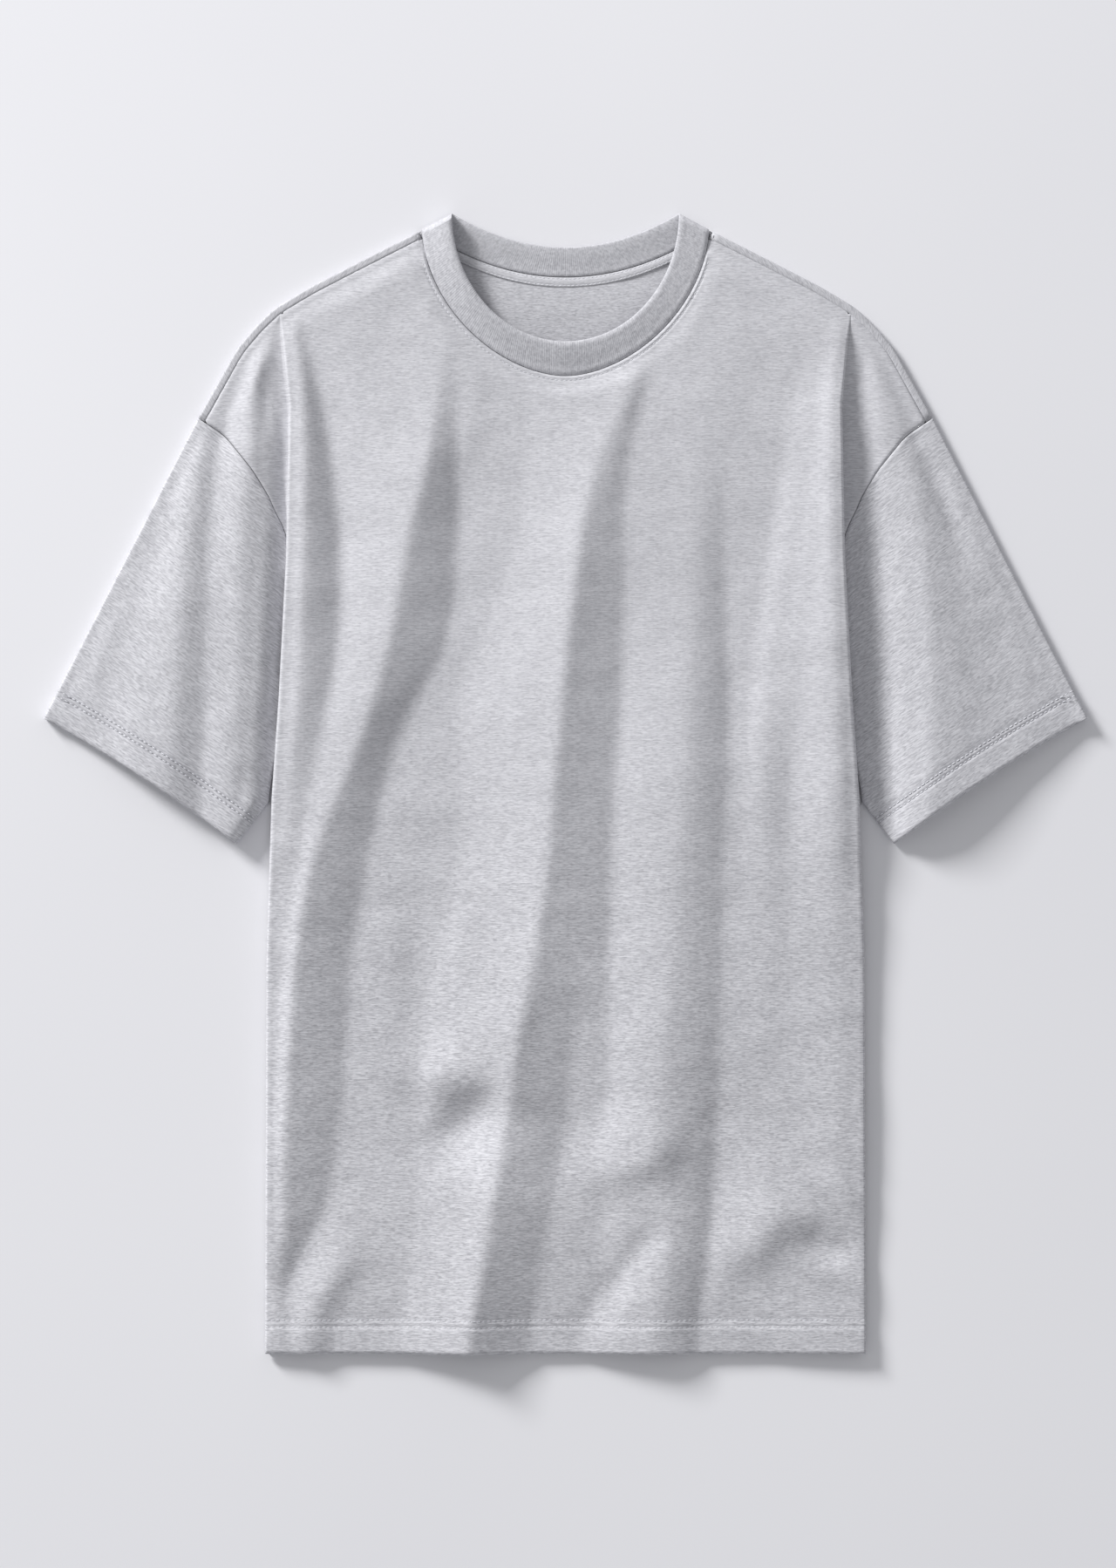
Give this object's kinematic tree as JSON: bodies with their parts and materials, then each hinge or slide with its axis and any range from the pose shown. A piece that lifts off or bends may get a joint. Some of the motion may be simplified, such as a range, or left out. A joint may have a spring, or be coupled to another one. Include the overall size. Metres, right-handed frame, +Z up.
{
  "type": "crew neck t-shirt",
  "caption": "Short-sleeved crew neck t-shirt laid flat, with a pleated front over a flat back, a ribbed neck band and open hem, cuffs and neck.",
  "frame": {"origin": "middle of the laid shirt's bounding box, on the surface it rests on", "axes": "+X across the shirt, +Y from the hem to the neck, +Z up from the surface through the cloth"},
  "size_m": [0.7176, 0.7841, 0.0215],
  "materials": {
    "back_jersey": "heather grey single jersey, inner and outer face alike",
    "front_jersey": "heather grey single jersey with fine streaks across the body",
    "sleeve_jersey": "heather grey single jersey with fine streaks along the cuff",
    "neck_rib": "heather grey 1x1 rib, doubled",
    "neck_tape": "pale grey woven tape"
  },
  "bodies": {
    "root": {"back_panel": "back_jersey", "front_panel": "front_jersey", "sleeve_left": "sleeve_jersey", "sleeve_right": "sleeve_jersey", "neck_rib": "neck_rib", "neck_tape": "neck_tape"}
  },
  "joints": []
}
